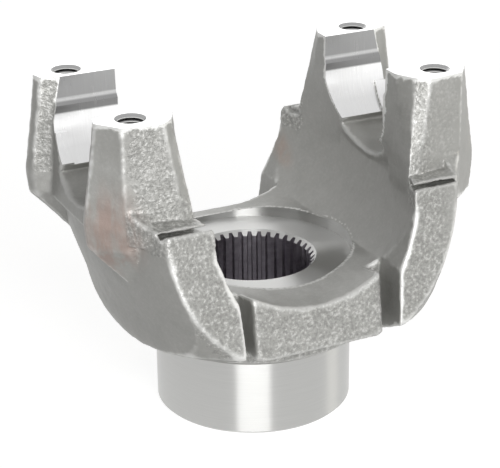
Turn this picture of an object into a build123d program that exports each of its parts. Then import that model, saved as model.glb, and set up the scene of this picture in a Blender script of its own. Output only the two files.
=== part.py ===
from build123d import *
from math import cos, pi, radians, sin, sqrt, tan
import os

# Half-round end yoke, forged in one piece and then machined. Millimetres, +Z up.
# The origin is the centre of the hub's lower face, on the spline axis.
# The ears stand at +X and -X, and the bearing saddles run along X.

# Hub
hub_diameter = 82.55
hub_height = 32.0
hub_edge_chamfer = 1.2

# Spline and bore
spline_teeth = 39
spline_tip_radius = 24.7
spline_tooth_depth = 1.6
spline_tip_share = 0.40
spline_root_share = 0.34
spline_phase = -0.30
spline_mouth_chamfer = 2.36
pilot_clearance = 1.3
pilot_depth = 9.0
pilot_chamfer = 1.0

# Recess around the bore
recess_radius = 41.9
recess_floor_z = 63.1
recess_depth = 3.3

# Base and arms, outside
underside_slope = 29.0
arm_face_y = 58.4
arm_top_z = 103.9
forging_draft = 8.4
bowl_radius = 86.0
bowl_centre_z = 92.5
ear_plan_offset = 70.0
ear_outline = [(57.3, 40.0), (63.0, 48.0), (65.8, 58.0), (70.0, 71.0), (73.5, 83.0), (75.3, 95.0), (76.0, 107.0)]

# Space between the arms
floor_fall = 2.1
rear_floor_y = 46.0
rear_floor_slope = 24.0
cavity_half_width = 54.8
cavity_widest_z = 97.0
cavity_plan_offset = 100.0
middle_floor_half_width = 40.0
middle_floor_rise = 0.4
middle_wall_radius = 43.0
end_floor_half_width = 31.0
end_floor_rise = 11.5
end_wall_radius = 36.0

# Front and back webs, with the notch on each side
web_half_width = 28.3
web_face_y = 60.6
web_bottom_z = 46.5
web_corner_radius = 2.0
notch_width = 5.2
notch_wall_lean = 1.5
notch_depth = 14.0
notch_mouth = [(35.3, 72.8), (39.0, 80.4), (42.3, 89.8), (43.4, 97.0)]
corner_flat_width = 6.5
corner_flat_height = 8.0

# Lip at the towers' feet, with the slot under it
lip_root_z = 106.0
lip_edge_z = 105.0
lip_y = 54.0
slot_floor_z = 101.8
slot_roof_z = 104.2
slot_depth = 11.4
slot_mouth = 3.6
slot_end_x = 64.3

# Towers: corners are given from the tapped hole's centre, outwards along X and Y.
# A reach is where the saddle's inner and outer ends lie on the same level, from the spline axis.
hole_x = 65.76
hole_y = 34.11
tower_top_z = 144.1
tower_foot_z = 104.5
block_bottom_z = 95.0
long_block_bottom_z = 90.0
block_root_drop = 22.5
long_block_root_drop = 4.0
tower_middle_z = 126.0
tower_top_reach = (48.0, 71.5)
tower_middle_reach = (47.4, 75.5)
tower_foot_reach = (52.3, 76.6)
block_bottom_reach = (53.4, 78.0)
block_root_reach = (53.4, 58.3)
tower_top_corners = [(-17.5, -1.1), (-13.3, 7.4), (-8.5, 11.5), (7.2, 9.3), (14.4, -0.6), (13.1, -5.3), (8.7, -6.9)]
tower_middle_corners = [
    (-17.4, 3.5), (-16.0, 10.4), (-11.4, 12.9), (7.2, 9.4), (16.8, -0.6), (15.5, -5.3), (13.7, -6.1)
]
tower_foot_corners = [(-17.3, 8.9), (-19.3, 13.9), (-14.9, 14.5), (7.3, 9.5), (20.1, -0.6), (18.7, -5.3), (14.2, -6.8)]
block_bottom_corners = [
    (-16.8, 8.9), (-17.0, 14.1), (-13.8, 14.7), (7.3, 9.7), (19.0, -0.6), (17.8, -5.3), (14.7, -6.8)
]
block_root_corners = [(-13.4, 5.0), (-13.2, 7.0), (-12.6, 7.4), (-9.4, 6.6), (-1.2, -0.6), (-2.4, -5.3), (-3.8, -6.0)]
shoulder_reach_y = 19.5
shoulder_low_z = 97.5
shoulder_high_z = 104.0
shoulder_blend = 7.0
shoulder_edge = 1.3

# Saddles
saddle_centre_z = 129.0
saddle_bore = 49.22
saddle_outer_x = 70.9
saddle_rise = 3.4
wall_gap = 51.3
wall_start_z = 134.6
contact_angle = 50.0
pocket_depth = 3.8
tang_height = 1.4
tang_top_z = 122.0

# Tapped holes in the tower tops
hole_minor_radius = 5.15
hole_chamfer_depth = 0.96
hole_depth = 32.0

# Pieces of the form reach into each other by one of these, and cuts run past their faces by the other
bury = 4.0
clear = 1.0

# Sizes worked out from those above
hub_radius = hub_diameter / 2
saddle_radius = saddle_bore / 2
wall_y = wall_gap / 2
tower_root_y = wall_y - bury
tower_front_y = hole_y + tower_foot_corners[2][1]
rim_z = recess_floor_z + recess_depth
saddle_top_z = saddle_centre_z + saddle_rise
spline_root_radius = spline_tip_radius + spline_tooth_depth
spline_mouth_radius = spline_tip_radius + spline_mouth_chamfer
pilot_radius = spline_root_radius + pilot_clearance
draft_slope = tan(radians(forging_draft))
notch_back_y = web_face_y - notch_depth
far = 3 * tower_top_z


def section_at(z, points):
    """Closed polygon on the level z."""
    return Plane.XY.offset(z) * make_face(Polyline(*points, close=True))


def profile(points):
    """Closed polygon in the upright plane through both ears, given as x and z."""
    return make_face(Polyline(*[(x, 0, z) for x, z in points], close=True))


def cross_profile(points):
    """Closed polygon in the upright plane across the ears, given as y and z."""
    return make_face(Polyline(*[(0, y, z) for y, z in points], close=True))


def both_sides(shape, plane):
    """The shape with its mirror image."""
    return shape + mirror(shape, about=plane)


def end_face_y(face_y, face_z, z):
    """Distance of a drafted end face from the mid-plane at the level z."""
    return face_y + (face_z - z) * draft_slope


# Outer form

def end_block(low_z, high_z):
    """Everything between the two drafted end faces."""
    low_y = end_face_y(arm_face_y, arm_top_z, low_z)
    high_y = end_face_y(arm_face_y, arm_top_z, high_z)
    outline = cross_profile([(-low_y, low_z), (low_y, low_z), (high_y, high_z), (-high_y, high_z)])
    return extrude(outline, amount=far, dir=(1, 0, 0), both=True)


def ear_outside():
    """Outside of the +X ear: its outline turned about an upright line behind the spline axis."""
    curve = Spline(*[(x, 0, z) for x, z in ear_outline])
    start, end = curve @ 0, curve @ 1
    behind = -ear_plan_offset
    rest = Polyline(end, (behind, 0, end.Z), (behind, 0, 0), (start.X, 0, 0), start)
    return revolve(make_face(curve + rest), Axis((behind, 0, 0), (0, 0, 1)), 360)


def bowl():
    """The outer form seen along the axis: a ball above a cone that runs in to the hub."""
    reach = far / 2
    cone = profile([
        (0, hub_height),
        (hub_radius, hub_height),
        (reach, hub_height + (reach - hub_radius) * tan(radians(underside_slope))),
        (reach, far),
        (0, far),
    ])
    return revolve(cone, Axis.Z, 360) & Pos(0, 0, bowl_centre_z) * Sphere(bowl_radius)


def forged_outside():
    """Base and arms before anything is taken out of them."""
    ear = ear_outside()
    top_z = ear_outline[-1][1]
    return bowl() & end_block(0.0, top_z) & ear & mirror(ear, about=Plane.YZ)


def arm_top_cut():
    """Clears everything above the arms' ends and the lips at the towers' feet."""
    half = cross_profile([
        (0, lip_root_z), (tower_front_y, lip_root_z), (lip_y, lip_edge_z), (lip_y, arm_top_z), (far, arm_top_z),
        (far, far), (0, far)
    ])
    return both_sides(extrude(half, amount=far, dir=(1, 0, 0), both=True), Plane.XZ)


def cavity_wall_x(y):
    """Distance of the arms' inner face from the mid-plane where it is widest."""
    return sqrt((cavity_plan_offset + cavity_half_width) ** 2 - y ** 2) - cavity_plan_offset


def cavity_section(y):
    """The space between the arms as a face at the distance y from the mid-plane."""
    share = (y / web_face_y) ** 2
    floor_z = rim_z - floor_fall * share
    edge_x = middle_floor_half_width + (end_floor_half_width - middle_floor_half_width) * share
    rise = middle_floor_rise + (end_floor_rise - middle_floor_rise) * share
    floor_radius = (edge_x ** 2 + rise ** 2) / (2 * rise)
    wall_radius = middle_wall_radius + (end_wall_radius - middle_wall_radius) * share
    edge = (edge_x, floor_z + rise)
    wall = (cavity_wall_x(y), cavity_widest_z)
    right = RadiusArc((0, floor_z), edge, -floor_radius) + RadiusArc(edge, wall, -wall_radius)
    right += Polyline(wall, (wall[0], far), (0, far))
    section = make_face(right + mirror(right, about=Plane.YZ))
    return Plane(origin=(0, -y, 0), x_dir=(1, 0, 0), z_dir=(0, -1, 0)) * section


def cavity():
    """The space between the arms: flat and wide in the middle, rounder and narrower at the webs."""
    end = end_face_y(arm_face_y, arm_top_z, web_bottom_z)
    return loft([cavity_section(y) for y in (-end, -end / 2, 0, end / 2, end)])


def rear_floor_cut():
    """The rear web's top falls away more steeply than the front one's."""
    fall = (far - rear_floor_y) * tan(radians(rear_floor_slope))
    outline = cross_profile([(rear_floor_y, rim_z), (far, rim_z - fall), (far, far), (rear_floor_y, far)])
    return extrude(outline, amount=web_half_width + notch_width / 2, dir=(1, 0, 0), both=True)


def web():
    """The block that the webs are the ends of, with draft and rounded corners."""
    low_z, high_z = 0.0, cavity_widest_z
    low_y = end_face_y(web_face_y, recess_floor_z, low_z)
    high_y = end_face_y(web_face_y, recess_floor_z, high_z)
    outline = cross_profile([(-low_y, low_z), (low_y, low_z), (high_y, high_z), (-high_y, high_z)])
    block = extrude(outline, amount=web_half_width, dir=(1, 0, 0), both=True)
    corners = [edge for edge in block.edges() if edge.length > high_z - low_z]
    return fillet(corners, web_corner_radius)


def web_and_notch_cut():
    """Sets the webs' faces back from the arms' faces and opens the notches beside them."""
    wall_x = web_half_width + notch_width
    outline = profile([
        (0, 0), (0, cavity_widest_z), *reversed(notch_mouth), (wall_x, web_bottom_z), (wall_x - notch_wall_lean, 0)
    ])
    region = Pos(0, notch_back_y, 0) * extrude(outline, amount=far, dir=(0, 1, 0))
    under = Pos(0, notch_back_y, 0) * Box(wall_x, far, web_bottom_z, align=(Align.MIN, Align.MIN, Align.MIN))
    return region - web() + under


def slot():
    """Undercut slot between the arm's end and the lip."""
    back_y = arm_face_y - slot_depth
    mouth_y = arm_face_y - slot_mouth
    height = slot_roof_z - slot_floor_z
    outline = cross_profile([
        (back_y, slot_floor_z), (mouth_y, slot_floor_z), (mouth_y + height, slot_roof_z), (back_y, slot_roof_z)
    ])
    return extrude(outline, amount=slot_end_x, dir=(1, 0, 0))


def corner_flat():
    """Small flat that takes the arm's inner corner off at the top."""
    x, y = cavity_wall_x(arm_face_y), arm_face_y
    far_x, far_y = x - bury, y + bury
    wide = corner_flat_width
    top_z = arm_top_z + clear
    upper = section_at(top_z, [(far_x, far_y), (x + wide, far_y), (far_x, y - wide)])
    lower = section_at(top_z - corner_flat_height, [(far_x, far_y), (x - clear, far_y), (far_x, y + clear)])
    return loft([upper, lower], ruled=True)


# Towers

def tower_section(z, reach, corners):
    """Outline of a tower on the level z; it reaches in under the saddle's wall."""
    points = [(hole_x + dx, hole_y + dy) for dx, dy in corners]
    return section_at(z, [(reach[0], tower_root_y), *points, (reach[1], wall_y), (reach[1], tower_root_y)])


def tower(bottom_z, root_drop):
    """One tower, in the quadrant of +X and +Y, with its outer block that overhangs the arm."""
    levels = [
        (tower_top_z, tower_top_reach, tower_top_corners),
        (tower_middle_z, tower_middle_reach, tower_middle_corners),
        (tower_foot_z, tower_foot_reach, tower_foot_corners),
        (bottom_z, block_bottom_reach, block_bottom_corners),
        (bottom_z - root_drop, block_root_reach, block_root_corners),
    ]
    return loft([tower_section(*level) for level in levels], ruled=True) + shoulder()


def shoulder():
    """Fills the corner between the tower's front and the wider arm; its top slopes in to the tower."""
    ridge = (hole_x + tower_foot_corners[3][0], hole_y + tower_foot_corners[3][1])
    x, front_y = slot_end_x, hole_y + shoulder_reach_y
    outline = [(x, hole_y), (x, front_y), (x + shoulder_edge, front_y - shoulder_edge / 2), ridge]
    high_z = shoulder_high_z + shoulder_blend
    prism = extrude(section_at(shoulder_low_z, outline), amount=high_z - shoulder_low_z)
    slope = cross_profile([(ridge[1], high_z), (front_y, shoulder_high_z), (far, shoulder_high_z), (far, high_z)])
    return prism - extrude(slope, amount=far, dir=(1, 0, 0))


# Saddles

def saddle_block():
    """The metal under the saddle, between the towers and flush with them."""
    root_z = block_bottom_z - block_root_drop
    section = profile([
        (tower_middle_reach[0], tower_middle_z), (tower_foot_reach[0], tower_foot_z),
        (cavity_half_width, cavity_widest_z), (block_root_reach[0], root_z), (block_root_reach[1], root_z),
        (block_bottom_reach[1], block_bottom_z), (tower_foot_reach[1], tower_foot_z),
        (tower_middle_reach[1], tower_middle_z)
    ])
    return extrude(section, amount=wall_y - bury / 2, dir=(0, 1, 0), both=True)


def saddle_cut():
    """Half-round seat with wider walls above it, and the tang with its smaller round at the outer end."""
    shoulder_y = sqrt(saddle_radius ** 2 - saddle_rise ** 2)
    across = Plane.YZ * Pos(0, saddle_centre_z)
    seat = across * Circle(saddle_radius) & cross_profile([
        (-far, 0), (far, 0), (far, saddle_top_z), (-far, saddle_top_z)
    ])
    wall = [(shoulder_y, saddle_top_z), (wall_y, wall_start_z), (wall_y, far)]
    wall_space = cross_profile([*wall, *[(-y, z) for y, z in reversed(wall)]])
    opening = extrude(seat, amount=far, dir=(1, 0, 0)) + extrude(wall_space, amount=far, dir=(1, 0, 0))
    outboard = Pos(saddle_outer_x, 0, 0) * Box(
        far, far, tang_top_z, align=(Align.MIN, Align.CENTER, Align.MIN)
    )
    tang_space = extrude(across * Circle(saddle_radius - tang_height), amount=far)
    return opening - outboard + tang_space


def pocket():
    """The forged relief along the bottom of the seat, between the two contact strips."""
    radius = saddle_radius + pocket_depth
    half_angle = radians(90.0 - contact_angle)
    across = Plane.YZ * Pos(0, saddle_centre_z)
    wedge = across * make_face(Polyline(
        (0, 0), (far * sin(half_angle), -far * cos(half_angle)), (-far * sin(half_angle), -far * cos(half_angle)),
        close=True
    ))
    return extrude(wedge & across * Circle(radius), amount=far)


def tapped_hole():
    """Chamfered hole, left at its minor size and with a flat end in place of the drill's point."""
    mouth = hole_minor_radius + hole_chamfer_depth
    top = tower_top_z
    section = profile([
        (0, top + clear), (mouth + clear, top + clear), (hole_minor_radius, top - hole_chamfer_depth),
        (hole_minor_radius, top - hole_depth), (0, top - hole_depth),
    ])
    return Pos(hole_x, hole_y, 0) * revolve(section, Axis.Z, 360)


# Hub and bore

def hub():
    """Turned hub with a chamfered lower edge; its top runs into the forging."""
    cylinder = Cylinder(hub_radius, hub_height + bury, align=(Align.CENTER, Align.CENTER, Align.MIN))
    return chamfer(cylinder.edges().filter_by(GeomType.CIRCLE).sort_by(Axis.Z)[0], hub_edge_chamfer)


def bore():
    """Spline with its chamfered mouth and the plain pilot below it."""
    pitch = 2 * pi / spline_teeth
    tooth = [
        (spline_tip_radius, -spline_tip_share / 2),
        (spline_tip_radius, spline_tip_share / 2),
        (spline_root_radius, (1 - spline_root_share) / 2),
        (spline_root_radius, (1 + spline_root_share) / 2),
    ]
    outline = []
    for number in range(spline_teeth):
        for radius, share in tooth:
            angle = (number + spline_phase + share) * pitch
            outline.append((radius * cos(angle), radius * sin(angle)))
    teeth = extrude(make_face(Polyline(*outline, close=True)), amount=recess_floor_z + clear)
    mouth = profile([
        (0, recess_floor_z + clear), (spline_mouth_radius + clear, recess_floor_z + clear),
        (spline_tip_radius, recess_floor_z - spline_mouth_chamfer), (0, recess_floor_z - spline_mouth_chamfer),
    ])
    pilot = profile([
        (0, 0), (pilot_radius + pilot_chamfer, 0), (pilot_radius, pilot_chamfer), (pilot_radius, pilot_depth),
        (0, pilot_depth),
    ])
    return teeth + revolve(mouth, Axis.Z, 360) + revolve(pilot, Axis.Z, 360)


def half_round_yoke():
    """The whole forging."""
    body = forged_outside() - arm_top_cut() - cavity() - rear_floor_cut()
    body += hub()
    quarter_cuts = slot() + web_and_notch_cut() + corner_flat()
    body -= both_sides(both_sides(quarter_cuts, Plane.XZ), Plane.YZ)

    rear_tower = tower(block_bottom_z, block_root_drop)
    front_right_tower = mirror(tower(long_block_bottom_z, long_block_root_drop), about=Plane.XZ)
    body += rear_tower + front_right_tower + saddle_block()
    body += mirror(both_sides(rear_tower, Plane.XZ) + saddle_block(), about=Plane.YZ)

    ear_cuts = saddle_cut() + pocket() + both_sides(tapped_hole(), Plane.XZ)
    body -= both_sides(ear_cuts, Plane.YZ)
    recess = Pos(0, 0, recess_floor_z) * Cylinder(
        recess_radius, far, align=(Align.CENTER, Align.CENTER, Align.MIN)
    )
    return body - recess - bore()


os.makedirs("parts", exist_ok=True)
yoke = half_round_yoke()
export_step(yoke, "parts/half_round_yoke.step")
print("solids", len(yoke.solids()), "volume", round(yoke.volume), "size", yoke.bounding_box().size)
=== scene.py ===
import bmesh
import bpy
import numpy as np
from mathutils import Matrix, Vector
from mathutils import noise as value_noise


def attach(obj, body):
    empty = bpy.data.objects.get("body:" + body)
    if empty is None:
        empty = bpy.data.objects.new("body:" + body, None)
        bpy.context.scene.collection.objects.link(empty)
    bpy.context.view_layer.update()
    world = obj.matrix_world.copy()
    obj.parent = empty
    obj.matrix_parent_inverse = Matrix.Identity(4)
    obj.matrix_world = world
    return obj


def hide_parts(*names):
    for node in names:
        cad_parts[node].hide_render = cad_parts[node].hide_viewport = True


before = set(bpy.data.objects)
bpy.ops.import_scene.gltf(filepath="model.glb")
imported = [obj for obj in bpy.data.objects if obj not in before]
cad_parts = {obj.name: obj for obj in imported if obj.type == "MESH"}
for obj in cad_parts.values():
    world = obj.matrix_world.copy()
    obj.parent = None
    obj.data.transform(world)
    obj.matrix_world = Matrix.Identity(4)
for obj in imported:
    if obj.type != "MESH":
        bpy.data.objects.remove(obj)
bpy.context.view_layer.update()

scene = bpy.context.scene
scene.view_settings.view_transform = "Standard"
NODE = "half_round_yoke"
MM = 0.001

# Material slots of the forging; the first two are forged skin, the others are cut by a tool
SMOOTH, COARSE, TURNED, MILLED, SADDLE, SPLINE, THREAD = range(7)

# Limits that tell the CAD model's faces apart, in millimetres
HUB_REACH, HUB_TOP = 41.4, 33.0
RECESS_REACH, RECESS_LOW, RECESS_HIGH = 42.2, 60.0, 63.3
RIM_INSIDE, RIM_OUTSIDE, RIM_LOW, RIM_HIGH = 41.6, 42.0, 62.0, 80.0
SPLINE_REACH, SPLINE_LOW, SPLINE_HIGH, MOUTH_LOW = 29.0, 0.2, 63.05, 60.9
TOP_LOW, TOP_HIGH = 143.9, 144.05
HOLE_X, HOLE_Y, HOLE_LOW = 65.76, 34.11, 100.0
HOLE_REACH, THREAD_REACH, THREAD_TOP = 6.3, 5.3, 143.2
SEAT_AXIS_Z, SEAT_REACH, SEAT_LOW, SEAT_HIGH = 129.0, 24.75, 109.0, 132.5
SADDLE_X, SADDLE_Y, WALL_LOW, WALL_Y = 46.0, 25.8, 132.0, 25.75
FACE_Y, TOWER_X, TOWER_Y = 34.0, 70.0, 46.0
LEDGE_LOW, LEDGE_HIGH, LEDGE_X = 95.0, 111.0, 72.0
REAR_Y, REAR_LOW = 25.9, 104.0

# Meshing of the forged skin: edge lengths in millimetres, angles in radians
FIRST_EDGE, LAST_EDGE, SHORT_EDGE = 6.0, 1.8, 0.45
FLAT_ANGLE, SHARP_ANGLE = 0.12, 0.4
ROUNDS, RATE, SLOT_RATE = 2, 0.5, 0.15
RELAX_ROUNDS = 25

THREAD_PITCH = 1.75

# Centre, reach, colour and strength of each stain, places in millimetres
STAINS = [
    ((-77.0, -38.0, 101.0), (16.0, 22.0, 26.0), (0.37, 0.26, 0.22), 0.75),
    ((41.0, 52.0, 87.0), (4.0, 12.0, 13.0), (0.42, 0.29, 0.23), 0.5),
]


# Camera, at the photograph's viewing angle

camera_data = bpy.data.cameras.new("camera")
camera_data.sensor_fit = "HORIZONTAL"
camera_data.sensor_width = 36.0
camera_data.lens = 128.2
camera = bpy.data.objects.new("camera", camera_data)
scene.collection.objects.link(camera)
right = Vector((0.90022, -0.43529, -0.01092))
up = Vector((0.17797, 0.34496, 0.92159))
turn = Matrix((right, up, right.cross(up))).transposed().to_4x4()
camera.matrix_world = Matrix.Translation((-0.29585, -0.61750, 0.36035)) @ turn
scene.camera = camera


# Node helpers

def new_material(name):
    """A node material with its shader; returns the material, its tree and the shader."""
    material = bpy.data.materials.new(name)
    material.use_nodes = True
    tree = material.node_tree
    shader = tree.nodes["Principled BSDF"]
    return material, tree, shader


def add(tree, kind, values=(), **settings):
    """A node with its settings and its unlinked input values."""
    node = tree.nodes.new(kind)
    for name, value in settings.items():
        setattr(node, name, value)
    for name, value in values:
        node.inputs[name].default_value = value
    return node


def link(tree, source, target):
    tree.links.new(source, target)


def noise(tree, position, scale, detail, rough=0.5):
    node = add(tree, "ShaderNodeTexNoise", [("Scale", scale), ("Detail", detail), ("Roughness", rough)])
    link(tree, position, node.inputs["Vector"])
    return node.outputs["Fac"]


def spread(tree, value, low, high, to_low=0.0, to_high=1.0, smooth=False):
    """Maps a value from one range to another, clamped."""
    node = add(tree, "ShaderNodeMapRange", [
        ("From Min", low), ("From Max", high), ("To Min", to_low), ("To Max", to_high)
    ])
    if smooth:
        node.interpolation_type = "SMOOTHSTEP"
    link(tree, value, node.inputs["Value"])
    return node.outputs["Result"]


def times(tree, first, second):
    """Product of two values; the second may be a number."""
    node = add(tree, "ShaderNodeMath", operation="MULTIPLY")
    link(tree, first, node.inputs[0])
    if isinstance(second, float):
        node.inputs[1].default_value = second
    else:
        link(tree, second, node.inputs[1])
    return node.outputs[0]


def ramp(tree, value, stops):
    """Colours over a value; stops are (position, colour)."""
    node = add(tree, "ShaderNodeValToRGB")
    elements = node.color_ramp.elements
    while len(elements) < len(stops):
        elements.new(0.5)
    for element, (position, colour) in zip(elements, stops):
        element.position = position
        element.color = (*colour, 1.0)
    link(tree, value, node.inputs["Fac"])
    return node.outputs["Color"]


def blend(tree, amount, under, over, mode="MIX"):
    """Two colours mixed by an amount; the second may be a plain colour."""
    node = add(tree, "ShaderNodeMix", data_type="RGBA", blend_type=mode)
    link(tree, amount, node.inputs["Factor"])
    link(tree, under, node.inputs[6])
    if isinstance(over, tuple):
        node.inputs[7].default_value = (*over, 1.0)
    else:
        link(tree, over, node.inputs[7])
    return node.outputs[2]


def spot(tree, position, centre, size):
    """One inside a soft ellipsoid and zero outside it."""
    moved = add(tree, "ShaderNodeVectorMath", operation="SUBTRACT")
    link(tree, position, moved.inputs[0])
    moved.inputs[1].default_value = [value * MM for value in centre]
    scaled = add(tree, "ShaderNodeVectorMath", operation="DIVIDE")
    link(tree, moved.outputs[0], scaled.inputs[0])
    scaled.inputs[1].default_value = [value * MM for value in size]
    length = add(tree, "ShaderNodeVectorMath", operation="LENGTH")
    link(tree, scaled.outputs[0], length.inputs[0])
    return spread(tree, length.outputs["Value"], 1.0, 0.25, smooth=True)


# Materials

def forged_material(name, speckled):
    """Shot-blasted forging skin with painted highlights along its edges; speckled is the strength of its
    grain.
    """
    material, tree, shader = new_material(name)
    geometry = add(tree, "ShaderNodeNewGeometry")
    position = geometry.outputs["Position"]
    parts = add(tree, "ShaderNodeSeparateXYZ")
    link(tree, position, parts.inputs[0])
    rough_side = spread(tree, parts.outputs["X"], 0.053, 0.06, 1.0, 0.35)
    speckle = noise(tree, position, 760.0, 2.0, 0.6)
    fine = noise(tree, position, 1500.0, 2.0)
    patches = noise(tree, position, 70.0, 4.0, 0.6)
    shade = ramp(tree, patches, [(0.3, (0.36, 0.358, 0.34)), (0.7, (0.44, 0.438, 0.42))])
    pits = times(tree, spread(tree, speckle, 0.36, 0.5, 1.0, 0.0, smooth=True), 0.55 * speckled)
    pits = times(tree, pits, rough_side)
    colour = blend(tree, pits, shade, (0.2, 0.2, 0.19))
    peaks = times(tree, spread(tree, speckle, 0.53, 0.66, smooth=True), 0.5 * speckled)
    peaks = times(tree, peaks, rough_side)
    colour = blend(tree, peaks, colour, (0.86, 0.86, 0.84))
    # Painted highlight: edges with high pointiness are tinted near white, less so around the slot's
    # height and near the middle in x
    painted_edge_highlight = times(tree, spread(tree, geometry.outputs["Pointiness"], 0.506, 0.538, smooth=True), 0.9)
    level = spread(tree, parts.outputs["Z"], 0.09, 0.115)
    white, grey = (1.0, 1.0, 1.0), (0.3, 0.3, 0.3)
    edge_highlight_calm = ramp(tree, level, [(0.1, white), (0.3, grey), (0.7, grey), (0.95, white)])
    painted_edge_highlight = times(tree, painted_edge_highlight, edge_highlight_calm)
    sideways = add(tree, "ShaderNodeMath", operation="ABSOLUTE")
    link(tree, parts.outputs["X"], sideways.inputs[0])
    painted_edge_highlight = times(tree, painted_edge_highlight, spread(tree, sideways.outputs[0], 0.026, 0.036, 0.4, 1.0))
    colour = blend(tree, painted_edge_highlight, colour, (0.97, 0.97, 0.95))
    streaks = add(tree, "ShaderNodeVectorMath", operation="MULTIPLY")
    link(tree, position, streaks.inputs[0])
    streaks.inputs[1].default_value = (1.0, 1.0, 0.25)
    broken = spread(tree, noise(tree, streaks.outputs[0], 160.0, 3.0, 0.65), 0.3, 0.6, smooth=True)
    for centre, size, tint, strength in STAINS:
        amount = times(tree, times(tree, spot(tree, position, centre, size), broken), strength)
        colour = blend(tree, amount, colour, tint)
    link(tree, colour, shader.inputs["Base Color"])
    shader.inputs["Metallic"].default_value = 0.3
    link(tree, spread(tree, patches, 0.3, 0.7, 0.4, 0.52), shader.inputs["Roughness"])
    dents = add(tree, "ShaderNodeBump", [("Distance", 0.0006)])
    link(tree, times(tree, rough_side, 0.7 * speckled), dents.inputs["Strength"])
    link(tree, speckle, dents.inputs["Height"])
    grain = add(tree, "ShaderNodeBump", [("Strength", 0.3), ("Distance", 0.00015)])
    link(tree, fine, grain.inputs["Height"])
    link(tree, dents.outputs[0], grain.inputs["Normal"])
    link(tree, grain.outputs[0], shader.inputs["Normal"])
    return material


def machined_material(name, rough, colour, stretch, pitch, contrast, radial=0.0):
    """Cut steel with fine tool marks; radial is how far marks around the axis draw the lights out."""
    material, tree, shader = new_material(name)
    position = add(tree, "ShaderNodeNewGeometry").outputs["Position"]
    shader.inputs["Metallic"].default_value = 1.0
    drawn = add(tree, "ShaderNodeVectorMath", operation="MULTIPLY")
    link(tree, position, drawn.inputs[0])
    drawn.inputs[1].default_value = stretch
    marks = noise(tree, drawn.outputs[0], pitch, 2.0)
    darker = tuple(value * (1.0 - contrast) for value in colour)
    lighter = tuple(min(1.0, value * (1.0 + contrast)) for value in colour)
    link(tree, ramp(tree, marks, [(0.35, darker), (0.65, lighter)]), shader.inputs["Base Color"])
    change = 2 * contrast * rough
    link(tree, spread(tree, marks, 0.3, 0.7, rough - change, rough + change), shader.inputs["Roughness"])
    if radial:
        shader.inputs["Anisotropic"].default_value = radial
        shader.inputs["Anisotropic Rotation"].default_value = 0.25
        tangent = add(tree, "ShaderNodeTangent", direction_type="RADIAL", axis="Z")
        link(tree, tangent.outputs[0], shader.inputs["Tangent"])
    bump = add(tree, "ShaderNodeBump", [("Strength", 0.1), ("Distance", 0.0005 * contrast)])
    link(tree, marks, bump.inputs["Height"])
    link(tree, bump.outputs[0], shader.inputs["Normal"])
    return material


def saddle_material():
    """Bored seat with painted light and shade by height: bright below the bearing's axis, painted shade
    on the upright walls and a painted highlight line where a bevel would be.
    """
    material, tree, shader = new_material("saddle_steel_painted_light")
    position = add(tree, "ShaderNodeNewGeometry").outputs["Position"]
    parts = add(tree, "ShaderNodeSeparateXYZ")
    link(tree, position, parts.inputs[0])
    level = spread(tree, parts.outputs["Z"], 0.104, 0.144)
    # Painted light and shade by height: a bright seat, a painted dark band just above the axis, a
    # painted highlight line for the bevel and darker upright walls
    painted_light_tones = (
        (0.0, 0.66), (0.3, 0.72), (0.5, 1.0), (0.62, 1.0), (0.64, 0.26),
        (0.74, 0.3), (0.755, 0.6), (0.775, 0.6), (0.79, 0.36), (1.0, 0.38),
    )
    shade = ramp(tree, level, [(place, (tone, tone, tone)) for place, tone in painted_light_tones])
    drawn = add(tree, "ShaderNodeVectorMath", operation="MULTIPLY")
    link(tree, position, drawn.inputs[0])
    drawn.inputs[1].default_value = (1.0, 0.04, 0.04)
    marks = noise(tree, drawn.outputs[0], 2400.0, 2.0)
    darker = times(tree, spread(tree, marks, 0.3, 0.7, smooth=True), 0.06)
    link(tree, blend(tree, darker, shade, (0.2, 0.2, 0.2)), shader.inputs["Base Color"])
    shader.inputs["Metallic"].default_value = 1.0
    link(tree, spread(tree, marks, 0.3, 0.7, 0.27, 0.33), shader.inputs["Roughness"])
    bump = add(tree, "ShaderNodeBump", [("Strength", 0.1), ("Distance", 0.00003)])
    link(tree, marks, bump.inputs["Height"])
    link(tree, bump.outputs[0], shader.inputs["Normal"])
    return material


def threaded_material():
    """Tapped steel: thread crests and grooves stacked along the hole at the bolt's pitch, as a bump with
    painted shade in the grooves and painted highlights on the crests.
    """
    material, tree, shader = new_material("threaded_steel")
    parts = add(tree, "ShaderNodeSeparateXYZ")
    link(tree, add(tree, "ShaderNodeNewGeometry").outputs["Position"], parts.inputs[0])
    wave = add(tree, "ShaderNodeMath", operation="PINGPONG")
    link(tree, parts.outputs["Z"], wave.inputs[0])
    wave.inputs[1].default_value = THREAD_PITCH * MM / 2
    height = spread(tree, wave.outputs[0], 0.0, THREAD_PITCH * MM / 2)
    # Painted shade in the thread grooves and painted highlights on the crests
    colour = ramp(tree, height, [(0.3, (0.14, 0.14, 0.14)), (0.8, (0.75, 0.75, 0.74))])
    link(tree, colour, shader.inputs["Base Color"])
    shader.inputs["Metallic"].default_value = 1.0
    shader.inputs["Roughness"].default_value = 0.35
    bump = add(tree, "ShaderNodeBump", [("Strength", 1.0), ("Distance", 0.0009)])
    link(tree, height, bump.inputs["Height"])
    link(tree, bump.outputs[0], shader.inputs["Normal"])
    return material


smooth_forged = forged_material("forged_steel", 0.1)
coarse_forged = forged_material("blasted_steel", 0.85)
turned = machined_material(
    "turned_steel", 0.31, (0.51, 0.51, 0.5), (0.02, 0.02, 1.0), 2600.0, 0.025, radial=1.0
)
milled = machined_material("milled_steel", 0.34, (0.84, 0.84, 0.83), (1.0, 0.12, 0.12), 1800.0, 0.06)
saddle = saddle_material()
splined = machined_material("splined_steel", 0.38, (0.38, 0.36, 0.39), (0.3, 0.3, 1.0), 900.0, 0.08)
threaded = threaded_material()


# The forging's mesh: cut faces stay as the CAD has them, forged skin is refined, rounded and roughened

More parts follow.
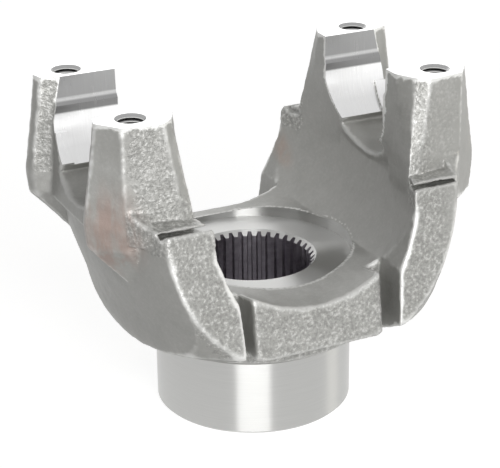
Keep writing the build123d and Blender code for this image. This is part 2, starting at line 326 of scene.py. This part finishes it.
def welded(node):
    """Vertices in metres and triangles of the node's mesh, with the seams between its faces closed."""
    work = bmesh.new()
    work.from_mesh(node.data)
    bmesh.ops.remove_doubles(work, verts=work.verts, dist=0.00001)
    bmesh.ops.triangulate(work, faces=work.faces)
    work.verts.ensure_lookup_table()
    places = np.array([vert.co[:] for vert in work.verts])
    corners = np.array([[vert.index for vert in face.verts] for face in work.faces])
    work.free()
    return places, corners


def finish_index(places, corners):
    """The material slot of each triangle."""
    triangle = places[corners]
    centre = triangle.mean(axis=1) / MM
    normal = np.cross(triangle[:, 1] - triangle[:, 0], triangle[:, 2] - triangle[:, 0])
    normal /= np.linalg.norm(normal, axis=1, keepdims=True) + 1e-20
    x, y, z = np.abs(centre[:, 0]), np.abs(centre[:, 1]), centre[:, 2]
    radius = np.hypot(centre[:, 0], centre[:, 1])
    from_seat = np.hypot(y, z - SEAT_AXIS_Z)
    from_hole = np.hypot(x - HOLE_X, y - HOLE_Y)
    along = np.abs(normal[:, 0])
    inward = -np.sign(centre[:, 0]) * normal[:, 0]
    kind = np.zeros(len(corners), dtype=np.int32)

    across = (np.abs(normal[:, 1]) > 0.72) & (y > FACE_Y)
    grained = (inward < 0.3) | (centre[:, 0] > 0.0)
    outer_tower = (x > TOWER_X) & (y < TOWER_Y)
    kind[across & grained & ~outer_tower] = COARSE
    ledge = (z > LEDGE_LOW) & (z < LEDGE_HIGH) & (y > TOWER_Y) & (x < LEDGE_X)
    kind[ledge & (normal[:, 2] > -0.4)] = COARSE
    rear_left = (centre[:, 0] < 0.0) & (centre[:, 1] > REAR_Y) & (z > REAR_LOW) & (inward < 0.75)
    kind[rear_left & (normal[:, 1] < -0.35)] = COARSE

    kind[(radius < HUB_REACH) & (z < HUB_TOP)] = TURNED
    kind[(radius < RECESS_REACH) & (z > RECESS_LOW) & (z < RECESS_HIGH)] = TURNED
    kind[(radius < RIM_OUTSIDE) & (radius > RIM_INSIDE) & (z > RIM_LOW) & (z < RIM_HIGH)] = TURNED
    in_bore = (radius < SPLINE_REACH) & (z < SPLINE_HIGH)
    kind[in_bore & (z > SPLINE_LOW)] = SPLINE
    kind[in_bore & (z > MOUTH_LOW) & (normal[:, 2] > 0.3)] = TURNED
    kind[(z > TOP_LOW) & (normal[:, 2] > 0.9)] = MILLED
    kind[(from_hole < HOLE_REACH) & (z > HOLE_LOW) & (z < TOP_HIGH)] = SADDLE
    kind[(from_hole < THREAD_REACH) & (z > HOLE_LOW) & (z < THREAD_TOP)] = THREAD
    in_saddle = (x > SADDLE_X) & (y < SADDLE_Y) & (along < 0.35)
    kind[in_saddle & (from_seat < SEAT_REACH) & (z < SEAT_HIGH) & (z > SEAT_LOW)] = SADDLE
    kind[in_saddle & (z > WALL_LOW) & (z < TOP_HIGH) & (y < WALL_Y)] = SADDLE
    return kind


def refine(places, corners, kind, longest):
    """Splits every edge of the forged skin until none is longer than the given length."""
    while True:
        edges = np.stack([corners, np.roll(corners, -1, axis=1)], axis=2).reshape(-1, 2)
        edges.sort(axis=1)
        unique, where = np.unique(edges, axis=0, return_inverse=True)
        where = where.reshape(-1, 3)
        skin = np.zeros(len(unique), dtype=bool)
        skin[where[kind < TURNED].ravel()] = True
        length = np.linalg.norm(places[unique[:, 0]] - places[unique[:, 1]], axis=1)
        split = skin & (length > longest)
        if not split.any():
            return places, corners, kind
        number = np.full(len(unique), -1)
        number[split] = len(places) + np.arange(split.sum())
        places = np.vstack([places, (places[unique[split, 0]] + places[unique[split, 1]]) / 2])
        mid = number[where]
        cut = mid >= 0
        pieces, kinds = [corners[~cut.any(axis=1)]], [kind[~cut.any(axis=1)]]
        for turn_by in range(3):
            a, b, c = np.roll(corners, -turn_by, axis=1).T
            ab, bc, ca = np.roll(mid, -turn_by, axis=1).T
            has_ab, has_bc, has_ca = ab >= 0, bc >= 0, ca >= 0
            one = has_ab & ~has_bc & ~has_ca
            pieces += [np.stack([a, ab, c], 1)[one], np.stack([ab, b, c], 1)[one]]
            two = has_ab & has_bc & ~has_ca
            pieces += [np.stack(row, 1)[two] for row in ((ab, b, bc), (a, ab, bc), (a, bc, c))]
            kinds += [kind[one]] * 2 + [kind[two]] * 3
        all_three = cut.all(axis=1)
        a, b, c = corners[all_three].T
        ab, bc, ca = mid[all_three].T
        pieces += [np.stack(row, 1) for row in ((a, ab, ca), (ab, b, bc), (ca, bc, c), (ab, bc, ca))]
        kinds += [kind[all_three]] * 4
        corners, kind = np.vstack(pieces), np.concatenate(kinds)


def shorten(work, least):
    """Collapses the skin's very short edges in separate batches, so that the mesh stays closed."""
    for _ in range(8):
        taken, target = set(), {}
        for edge in work.edges:
            first, second = edge.verts
            if first in taken or second in taken or edge.calc_length() >= least:
                continue
            if any(face.material_index >= TURNED for vert in edge.verts for face in vert.link_faces):
                continue
            around_first = {side.other_vert(first) for side in first.link_edges}
            around_second = {side.other_vert(second) for side in second.link_edges}
            around = around_first | around_second
            if len(around_first & around_second) == 2 and not around & taken:
                target[second] = first
                taken |= around
        if not target:
            break
        bmesh.ops.weld_verts(work, targetmap=target)


def evened(places, corners, kind):
    """Turns the skin's thin triangles into rounder ones where the surface is nearly flat."""
    data = bpy.data.meshes.new("work")
    data.from_pydata(places.tolist(), [], corners.tolist())
    data.polygons.foreach_set("material_index", kind)
    work = bmesh.new()
    work.from_mesh(data)
    bpy.data.meshes.remove(data)
    edges = [
        edge for edge in work.edges
        if len(edge.link_faces) == 2
        and edge.link_faces[0].material_index == edge.link_faces[1].material_index < TURNED
        and edge.calc_face_angle(1.0) < FLAT_ANGLE
    ]
    faces = [face for face in work.faces if face.material_index < TURNED]
    bmesh.ops.beautify_fill(work, faces=faces, edges=edges, method="ANGLE")
    shorten(work, SHORT_EDGE * MM)
    work.verts.index_update()
    places = np.array([vert.co[:] for vert in work.verts])
    corners = np.array([[vert.index for vert in face.verts] for face in work.faces])
    kind = np.array([face.material_index for face in work.faces], dtype=np.int32)
    work.free()
    return places, corners, kind


def neighbour_pairs(corners):
    edges = np.stack([corners, np.roll(corners, -1, axis=1)], axis=2).reshape(-1, 2)
    edges.sort(axis=1)
    return np.unique(edges, axis=0)


def neighbour_mean(values, pairs, size):
    """Mean of each vertex's neighbours; values has one row for each vertex."""
    total = np.zeros_like(values)
    np.add.at(total, pairs[:, 0], values[pairs[:, 1]])
    np.add.at(total, pairs[:, 1], values[pairs[:, 0]])
    degree = np.bincount(pairs.ravel(), minlength=size).astype(float)
    return total / np.maximum(degree, 1.0)[:, None]


def vertex_normals(places, corners):
    triangle = places[corners]
    normal = np.cross(triangle[:, 1] - triangle[:, 0], triangle[:, 2] - triangle[:, 0])
    total = np.zeros_like(places)
    for column in range(3):
        np.add.at(total, corners[:, column], normal)
    return total / (np.linalg.norm(total, axis=1, keepdims=True) + 1e-20)


def folded(places, corners, free):
    """True for free vertices where a triangle leans far away from the surface around it."""
    outward = vertex_normals(places, corners)
    triangle = places[corners]
    normal = np.cross(triangle[:, 1] - triangle[:, 0], triangle[:, 2] - triangle[:, 0])
    normal /= np.linalg.norm(normal, axis=1, keepdims=True) + 1e-20
    lean = np.einsum("ijk,ik->ij", outward[corners], normal)
    flagged = np.zeros(len(places), dtype=bool)
    flagged[corners[lean.min(axis=1) < 0.3].ravel()] = True
    return flagged & (free > 0.0)


def forging_mesh(node):
    places, corners = welded(node)
    kind = finish_index(places, corners)
    places, corners, kind = refine(places, corners, kind, FIRST_EDGE * MM)
    places, corners, kind = evened(places, corners, kind)
    places, corners, kind = refine(places, corners, kind, LAST_EDGE * MM)
    places, corners, kind = evened(places, corners, kind)
    size = len(places)
    free = np.ones(size)
    free[corners[kind >= TURNED].ravel()] = 0.0
    pairs = neighbour_pairs(corners)

    x, y, z = np.abs(places[:, 0]) / MM, np.abs(places[:, 1]) / MM, places[:, 2] / MM
    near_slot = (x > 43.0) & (x < 67.0) & (y > 45.0) & (y < 60.0) & (z > 100.5) & (z < 107.0)
    rate = np.where(near_slot, SLOT_RATE, RATE) * free
    for _ in range(ROUNDS):
        places = places + (neighbour_mean(places, pairs, size) - places) * rate[:, None]

    fade = free[:, None]
    for _ in range(5):
        fade = neighbour_mean(fade, pairs, size) * free[:, None]
    outward = vertex_normals(places, corners)
    swell = np.array([
        0.16 * value_noise.noise(Vector(point) * 170.0) + 0.1 * value_noise.noise(Vector(point) * 420.0)
        for point in places
    ])
    places = places + outward * (swell * MM)[:, None] * fade
    for _ in range(RELAX_ROUNDS):
        flagged = folded(places, corners, free)
        if not flagged.any():
            break
        places = places + (neighbour_mean(places, pairs, size) - places) * (0.5 * flagged)[:, None]
    return places, corners, kind


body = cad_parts[NODE]
places, corners, kind = forging_mesh(body)
data = bpy.data.meshes.new("forging")
data.from_pydata(places.tolist(), [], corners.tolist())
for material in (smooth_forged, coarse_forged, turned, milled, saddle, splined, threaded):
    data.materials.append(material)
data.polygons.foreach_set("material_index", kind)
data.polygons.foreach_set("use_smooth", np.ones(len(corners), dtype=bool))
data.update()
work = bmesh.new()
work.from_mesh(data)
for edge in work.edges:
    faces = edge.link_faces
    cut = len(faces) == 2 and max(face.material_index for face in faces) >= TURNED
    edge.smooth = not (cut and edge.calc_face_angle(0.0) > SHARP_ANGLE)
work.to_mesh(data)
work.free()
forging = bpy.data.objects.new("forging", data)
scene.collection.objects.link(forging)
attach(forging, "root")
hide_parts(NODE)
print("triangles", len(corners), "skin", int((kind < TURNED).sum()))


# Floor, light and backdrop

def plane(name, size, material):
    """A flat square on the floor's level."""
    sheet = bpy.data.meshes.new(name)
    half = size / 2
    around = [(-half, -half, 0), (half, -half, 0), (half, half, 0), (-half, half, 0)]
    sheet.from_pydata(around, [], [(0, 1, 2, 3)])
    sheet.materials.append(material)
    item = bpy.data.objects.new(name, sheet)
    scene.collection.objects.link(item)
    return item


def seen_directly(tree):
    """One for the camera's, mirrored and transmitted rays, zero for soft light."""
    path = add(tree, "ShaderNodeLightPath")
    seen = path.outputs["Is Camera Ray"]
    for kind_of_ray in ("Is Glossy Ray", "Is Transmission Ray"):
        larger = add(tree, "ShaderNodeMath", operation="MAXIMUM")
        link(tree, seen, larger.inputs[0])
        link(tree, path.outputs[kind_of_ray], larger.inputs[1])
        seen = larger.outputs[0]
    return seen


def floor_material():
    """Matt white, brighter to the camera so that it meets the white background."""
    material, tree, shader = new_material("floor")
    shader.inputs["Base Color"].default_value = (0.4, 0.4, 0.395, 1.0)
    shader.inputs["Roughness"].default_value = 0.9
    shader.inputs["Specular IOR Level"].default_value = 0.0
    shader.inputs["Emission Color"].default_value = (1.0, 1.0, 1.0, 1.0)
    link(tree, times(tree, seen_directly(tree), 0.83), shader.inputs["Emission Strength"])
    return material


floor = plane("floor", 6.0, floor_material())

world = bpy.data.worlds.new("studio")
world.use_nodes = True
scene.world = world
tree = world.node_tree
background = tree.nodes["Background"]
background.inputs["Color"].default_value = (1.0, 1.0, 1.0, 1.0)
link(tree, spread(tree, seen_directly(tree), 0.0, 1.0, 0.24, 1.0), background.inputs["Strength"])


def lamp(name, place, target, size, power, size_y=None):
    """A soft rectangular light aimed at a point."""
    light = bpy.data.lights.new(name, "AREA")
    light.shape = "RECTANGLE"
    light.size = size
    light.size_y = size_y or size
    light.energy = power
    item = bpy.data.objects.new(name, light)
    scene.collection.objects.link(item)
    item.location = place
    item.rotation_euler = (Vector(target) - Vector(place)).to_track_quat("-Z", "Y").to_euler()
    return item


middle = (0.0, 0.0, 0.08)
lamp("strip", (-0.45, -0.95, 0.26), middle, 0.7, 8.0, 0.45).visible_diffuse = False
lamp("key", (-0.1, -1.1, 0.5), middle, 0.5, 8.0).visible_glossy = False
lamp("back", (0.5, 1.25, 0.62), (0.0, 0.0, 0.1), 1.2, 3.0, 0.6)
lamp("side", (1.15, -0.28, 0.4), middle, 0.4, 2.2).data.color = (1.0, 0.97, 0.88)
